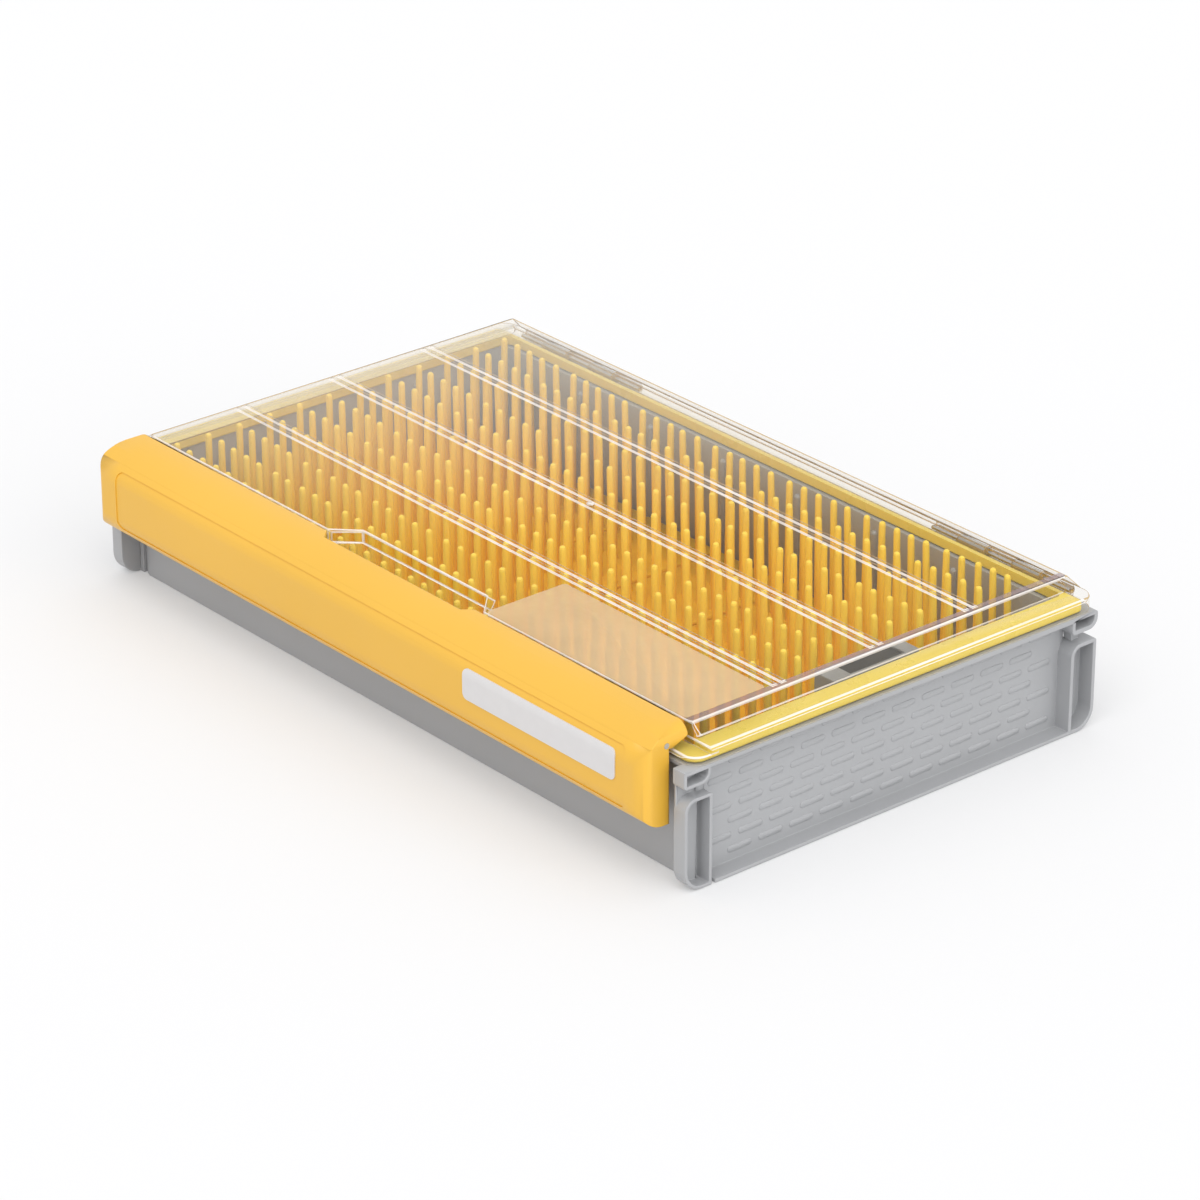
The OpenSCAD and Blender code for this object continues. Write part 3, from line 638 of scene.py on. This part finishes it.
def label_stock(name, base):
    """Blank coated label: smooth, with a faint fibre mottle."""
    material, tree, shader = new_material(name)
    mottle = grain(tree, 160, 4)
    gloss = grain(tree, 60, 2)
    fibres = grain(tree, 500, 3)
    set_surface(tree, shader, varied(tree, base, 0.015, mottle), spread(tree, gloss, 0.38, 0.48))
    relief(tree, shader, fibres, strength=0.06, depth=0.04 * MM)
    return material


# Stage

def seen_directly(tree):
    """1 for rays from the camera, from gloss and through glass, and 0 for the rest."""
    rays = tree.nodes.new("ShaderNodeLightPath")
    value = rays.outputs["Is Camera Ray"]
    for kind in ("Is Glossy Ray", "Is Transmission Ray"):
        either = tree.nodes.new("ShaderNodeMath")
        either.operation = "MAXIMUM"
        tree.links.new(value, either.inputs[0])
        tree.links.new(rays.outputs[kind], either.inputs[1])
        value = either.outputs["Value"]
    return value


def white_world(sky):
    """Even white light of the given strength, which shows as plain white."""
    world = bpy.data.worlds.new("studio")
    world.use_nodes = True
    tree = world.node_tree
    tree.nodes.clear()
    output = tree.nodes.new("ShaderNodeOutputWorld")
    mix = tree.nodes.new("ShaderNodeMixShader")
    for slot, strength in ((1, sky), (2, 1)):
        glow = tree.nodes.new("ShaderNodeBackground")
        glow.inputs["Color"].default_value = (1, 1, 1, 1)
        glow.inputs["Strength"].default_value = strength
        tree.links.new(glow.outputs["Background"], mix.inputs[slot])
    tree.links.new(seen_directly(tree), mix.inputs["Fac"])
    tree.links.new(mix.outputs["Shader"], output.inputs["Surface"])
    bpy.context.scene.world = world


def floor_material(shade, glow):
    """Pale matt floor that keeps the box's shadow and shows as white away from it."""
    material = bpy.data.materials.new("studio_floor")
    material.use_nodes = True
    tree = material.node_tree
    tree.nodes.clear()
    output = tree.nodes.new("ShaderNodeOutputMaterial")
    matt = tree.nodes.new("ShaderNodeBsdfDiffuse")
    matt.inputs["Color"].default_value = [*shade, 1]
    white = tree.nodes.new("ShaderNodeEmission")
    weight = tree.nodes.new("ShaderNodeMath")
    weight.operation = "MULTIPLY"
    weight.inputs[1].default_value = glow
    tree.links.new(seen_directly(tree), weight.inputs[0])
    mix = tree.nodes.new("ShaderNodeMixShader")
    tree.links.new(weight.outputs["Value"], mix.inputs["Fac"])
    tree.links.new(matt.outputs["BSDF"], mix.inputs[1])
    tree.links.new(white.outputs["Emission"], mix.inputs[2])
    tree.links.new(mix.outputs["Shader"], output.inputs["Surface"])
    return material


def photo_camera():
    """A camera where the photograph was taken from."""
    view = bpy.data.cameras.new("photo_view")
    view.lens = EYE_LENS
    view.sensor_width = EYE_FILM
    eye = bpy.data.objects.new("photo_view", view)
    bpy.context.scene.collection.objects.link(eye)
    eye.location = EYE_PLACE
    eye.rotation_euler = (math.radians(90 - EYE_DOWN), 0, math.radians(EYE_TURN))
    bpy.context.scene.camera = eye


def round_floor(radius, material):
    """A round floor, just under the box."""
    bm = bmesh.new()
    bmesh.ops.create_circle(bm, cap_ends=True, radius=radius, segments=64)
    under = 0.2 * MM
    bmesh.ops.translate(bm, verts=bm.verts, vec=(0, 0, -under))
    mesh = bpy.data.meshes.new("studio_floor")
    bm.to_mesh(mesh)
    bm.free()
    mesh.materials.append(material)
    floor = bpy.data.objects.new("studio_floor", mesh)
    bpy.context.scene.collection.objects.link(floor)


def soft_light(name, strength, angle, way):
    """A wide soft light that shines from the way given."""
    lamp = bpy.data.lights.new(name, "SUN")
    lamp.energy = strength
    lamp.angle = angle
    holder = bpy.data.objects.new(name, lamp)
    bpy.context.scene.collection.objects.link(holder)
    holder.location = way
    holder.rotation_euler = Vector(way).to_track_quat("Z", "Y").to_euler()


class BOX_OT_stage(bpy.types.Operator):
    """Sets the camera, the floor, the white surroundings and the soft lamps"""
    bl_idname = "box.stage"
    bl_label = "Stage"

    def execute(self, context):
        light = context.scene.box_light
        context.scene.view_settings.view_transform = "Standard"
        photo_camera()
        white_world(light.sky)
        round_floor(light.floor_radius, floor_material(light.floor_shade, light.floor_glow))
        soft_light("key_light", light.key, light.spread, KEY_WAY)
        soft_light("fill_light", light.fill, light.spread, FILL_WAY)
        return {"FINISHED"}


# Pieces

class BOX_OT_tub(bpy.types.Operator):
    """Makes the finished grey tub and the raised pills on its end walls"""
    bl_idname = "box.tub"
    bl_label = "Tub"

    def pill_places(self, look, x):
        """Where the pills sit on both end walls, each turned to face outwards."""
        places = []
        for row in range(look.pill_rows):
            z = look.pill_first + row * look.pill_rise
            shift = look.pill_shift if row % 2 == 0 else -look.pill_shift
            for spot in range(look.pills):
                off = spot - (look.pills - 1) / 2
                y = look.pill_middle + shift + off * look.pill_pitch
                for side in (1, -1):
                    places.append(Matrix((
                        (0, 0, side, side * x), (side, 0, 0, y), (0, 1, 0, z), (0, 0, 0, 1))))
        return places

    def execute(self, context):
        look = context.scene.box_tub
        grey = moulded_plastic("tub_plastic", look.shade, rough=0.42)
        finished_copy("tub", "tub_shell", "base", grey, look.edge)
        sunk = 0.05 * MM
        bm = bmesh.new()
        face = flat_plate(
            bm, look.pill_length, look.pill_height, radius=look.pill_height / 2, segments=6)
        thicken(bm, face, height=look.pill_relief + sunk, edge=look.pill_relief)
        pills = repeated(bm, self.pill_places(look, END_WALL_X - sunk))
        make_piece(pills, "end_pills", "base", grey)
        return {"FINISHED"}


class BOX_OT_tines(bpy.types.Operator):
    """Makes the seven mats of soft round tines"""
    bl_idname = "box.tines"
    bl_label = "Soft tines"

    def tine(self, look):
        """One upright tine, its height 1, with a fillet at its foot and a rounded tip."""
        # Share of the height, and the radius there
        steps = [
            (0, look.fillet),
            (0.018, look.foot + 0.12 * MM),
            (0.04, look.foot),
            (0.974, look.tip),
            (0.991, look.tip * 0.84),
            (1, look.tip * 0.45),
        ]
        level, radius = steps[0]
        bm = bmesh.new()
        bmesh.ops.create_circle(bm, cap_ends=True, radius=1, segments=look.sides)
        bmesh.ops.scale(bm, verts=bm.verts, vec=(radius, radius, 1))
        end = bm.faces[:]
        for height, wide in steps[1:]:
            grown = bmesh.ops.extrude_face_region(bm, geom=end)["geom"]
            verts = [item for item in grown if isinstance(item, bmesh.types.BMVert)]
            end = [item for item in grown if isinstance(item, bmesh.types.BMFace)]
            bmesh.ops.translate(bm, verts=verts, vec=(0, 0, height - level))
            bmesh.ops.scale(bm, verts=verts, vec=(wide / radius, wide / radius, 1))
            level = height
            radius = wide
        bmesh.ops.recalc_face_normals(bm, faces=bm.faces)
        return bm

    def tine_places(self, look, middle, chance):
        """How the tines of one mat stand, lean and end, as a matrix for each."""
        sunk = 0.3 * MM
        foot_z = MAT_TOP_Z - sunk
        places = []
        for column in range(look.columns):
            off = column - (look.columns - 1) / 2
            for row in range(look.rows):
                x = middle + off * look.column_pitch
                y = (row - (look.rows - 1) / 2) * look.row_pitch
                lean_x = -look.lean_left - off * look.draw * MM
                outward = (x + lean_x - look.mats_middle) / look.half_span
                tip = look.top - look.sag * (1 - outward * outward)
                lean_x += chance.uniform(-1, 1) * look.sway
                lean_y = look.lean_back + chance.uniform(-1, 1) * look.sway
                places.append(Matrix((
                    (1, 0, lean_x, x), (0, 1, lean_y, y), (0, 0, tip - foot_z, foot_z),
                    (0, 0, 0, 1))))
        return places

    def backing(self, middle, wide):
        """The flat backing of one mat."""
        bm = bmesh.new()
        face = flat_plate(bm, wide, 2 * MAT_HALF_DEEP, radius=1.2 * MM, segments=4)
        thicken(bm, face, height=MAT_TOP_Z - TUB_FLOOR_Z, edge=0.5 * MM)
        bmesh.ops.translate(bm, verts=bm.verts, vec=(middle, 0, TUB_FLOOR_Z))
        return bm

    def execute(self, context):
        look = context.scene.box_tines
        # The colour running from deep yellow at the mat to light yellow at the tips is painted shade.
        rubber = soft_rubber(
            "tine_rubber", look.deep, look.shade, bottom=6 * MM, top=50 * MM, rough=0.42,
            inner=look.inner)
        chance = random.Random(7)
        pitch = look.columns * look.column_pitch
        for index, node in enumerate(MATS):
            middle = look.mats_middle + (index - (len(MATS) - 1) / 2) * pitch
            bm = repeated(self.tine(look), self.tine_places(look, middle, chance))
            join(bm, self.backing(middle, pitch - look.mat_gap))
            piece = make_piece(bm, "soft_" + node, "base", rubber, [node])
            piece.data.set_sharp_from_angle(angle=math.radians(50))
        return {"FINISHED"}


class BOX_OT_holder(bpy.types.Operator):
    """Makes the moisture holder and its dark cartridge"""
    bl_idname = "box.holder"
    bl_label = "Moisture holder"

    def execute(self, context):
        look = context.scene.box_fitting
        grey = moulded_plastic("holder_plastic", look.holder, rough=0.45)
        dark = moulded_plastic("cartridge_plastic", look.cartridge, rough=0.5, fine=600)
        finished_copy(
            "moisture_holder", "holder_body", "base", grey,
            edge=0.5 * MM, segments=3)
        finished_copy(
            "moisture_cartridge", "cartridge_body", "base", dark,
            edge=0.4 * MM, segments=3)
        return {"FINISHED"}


class BOX_OT_pins(bpy.types.Operator):
    """Gives the hinge pins and the latch pin their drawn steel"""
    bl_idname = "box.pins"
    bl_label = "Pins"

    def execute(self, context):
        steel = drawn_steel("pin_drawn_steel", context.scene.box_fitting.steel)
        for node in ("hinge_pin_left", "hinge_pin_right", "latch_pin"):
            paint_node(node, steel)
        return {"FINISHED"}


class BOX_OT_lid(bpy.types.Operator):
    """Makes the clear lid, its seal, its frosted patch and its gate mark"""
    bl_idname = "box.lid"
    bl_label = "Clear lid"

    def sort_faces(self, mesh, look, edges, band):
        """Gives the lid's edges and the rolled edge at the right their own material slots, for their
        painted highlight and painted shade.
        """
        bm = bmesh.new()
        bm.from_mesh(mesh)
        level = LID_TOP_Z - 0.1 * MM
        faces_up = 0.99
        upright = 0.5
        for x, y in ((look.band_left, 0), (look.rim_left, 0), (0, look.rim_rear)):
            top = [
                face for face in bm.faces
                if face.normal.z > faces_up and face.calc_center_median().z > level]
            sides = {edge for face in top for edge in face.edges}
            corners = {vert for face in top for vert in face.verts}
            cut(bm, [*top, *sides, *corners], (x, y, 0), (x, y, 0))
        for face in bm.faces:
            levels = [vert.co.z for vert in face.verts]
            if abs(face.normal.z) < upright and max(levels) - min(levels) < look.thin_wall:
                face.material_index = edges
            elif face.normal.z > faces_up and min(levels) > level:
                middle = face.calc_center_median()
                # Painted shade on the rolled top edge at the right end.
                if middle.x > look.band_left:
                    face.material_index = band
                # The outermost top faces at the left and rear take the painted edge light, which
                # turns there to the seal's painted yellow.
                elif middle.x < look.rim_left or middle.y > look.rim_rear:
                    face.material_index = edges
        bm.to_mesh(mesh)
        bm.free()

    def execute(self, context):
        look = context.scene.box_lid
        rim = (look.rim_painted_seal, look.rim_left, look.rim_rear)
        clear = clear_plastic("lid_plastic", look.tint, look.gloss, look.rim_gloss, look.corner_painted_reflection)
        lines = clear_band("lid_edge_painted_light", look.tint, look.edge_highlight, look.edge_highlight_share, rim)
        band = clear_band("lid_band_painted_shade", look.tint, look.band_painted_shade, look.band_share)
        shell = finished_copy(
            "lid_shell", "lid_clear_shell", "lid", clear, look.edge)
        shell.data.materials.append(lines)
        shell.data.materials.append(band)
        # The rounded edges take the painted highlight.
        shell.modifiers["Rounded edges"].material = 1
        self.sort_faces(shell.data, look, edges=1, band=2)

        rubber = soft_rubber(
            "seal_rubber", look.seal, look.seal, bottom=0, top=60 * MM, rough=0.3,
            inner=look.seal_inner)
        finished_copy(
            "lid_seal", "seal_ring", "lid", rubber, look.seal_edge, segments=3)

        skin = frosted_skin("frosted_skin", look.frost_and_painted_tine_light, look.frost)
        wide = look.frost_right - look.frost_left
        deep = look.frost_rear - look.frost_front
        middle = (
            (look.frost_right + look.frost_left) / 2, (look.frost_rear + look.frost_front) / 2,
            LID_TOP_Z)
        bm = bmesh.new()
        face = flat_plate(bm, wide, deep, look.frost_corner, segments=4)
        thicken(bm, face, height=look.frost_skin, edge=look.frost_skin / 2)
        bmesh.ops.translate(bm, verts=bm.verts, vec=middle)
        make_piece(bm, "frosted_patch", "lid", skin)

        bm = bmesh.new()
        face = flat_plate(bm, 2 * look.gate, 2 * look.gate, look.gate, segments=6)
        thicken(bm, face, height=look.gate_height, edge=look.gate_height / 2)
        back = 0.6 * MM
        sunk = 0.02 * MM
        bmesh.ops.translate(bm, verts=bm.verts, vec=(0, back, LID_TOP_Z - sunk))
        # The gate mark takes the painted edge highlight too.
        make_piece(bm, "gate_mark", "lid", lines)
        return {"FINISHED"}


class BOX_OT_latch(bpy.types.Operator):
    """Makes the yellow latch cover and its blank label"""
    bl_idname = "box.latch"
    bl_label = "Latch"

    def execute(self, context):
        look = context.scene.box_latch
        yellow = moulded_plastic(
            "latch_plastic", look.shade, rough=0.36, fine=1100, change=0.02, strength=0.08)
        finished_copy(
            "latch_cover", "latch_shell", "latch", yellow, look.edge,
            segments=3, angle=62, end=look.end)
        paint_node("label_plate", label_stock("label_paper", look.label))
        return {"FINISHED"}


OPERATORS = [
    BOX_OT_stage, BOX_OT_tub, BOX_OT_tines, BOX_OT_holder, BOX_OT_pins, BOX_OT_lid, BOX_OT_latch]
SETTINGS = {
    "box_tub": TubFinish,
    "box_tines": TineFinish,
    "box_lid": LidFinish,
    "box_latch": LatchFinish,
    "box_fitting": FittingFinish,
    "box_light": StudioLight,
}


class BOX_PT_sidebar(bpy.types.Panel):
    """Lists the steps that finish the box, with their sizes and colours"""
    bl_idname = "BOX_PT_sidebar"
    bl_label = "Hard lure box"
    bl_space_type = "VIEW_3D"
    bl_region_type = "UI"
    bl_category = TAB

    def draw(self, context):
        for step in OPERATORS:
            self.layout.operator(step.bl_idname)
        for name, group in SETTINGS.items():
            box = self.layout.box()
            for field in group.__annotations__:
                box.prop(getattr(context.scene, name), field)


CLASSES = [*SETTINGS.values(), *OPERATORS, BOX_PT_sidebar]


def register():
    for item in CLASSES:
        bpy.utils.register_class(item)
    for name, group in SETTINGS.items():
        setattr(bpy.types.Scene, name, bpy.props.PointerProperty(type=group))


def unregister():
    for name in SETTINGS:
        delattr(bpy.types.Scene, name)
    for item in reversed(CLASSES):
        bpy.utils.unregister_class(item)


def main():
    register()
    bpy.ops.box.stage()
    bpy.ops.box.tub()
    bpy.ops.box.tines()
    bpy.ops.box.holder()
    bpy.ops.box.pins()
    bpy.ops.box.lid()
    bpy.ops.box.latch()


if __name__ == "__main__":
    main()
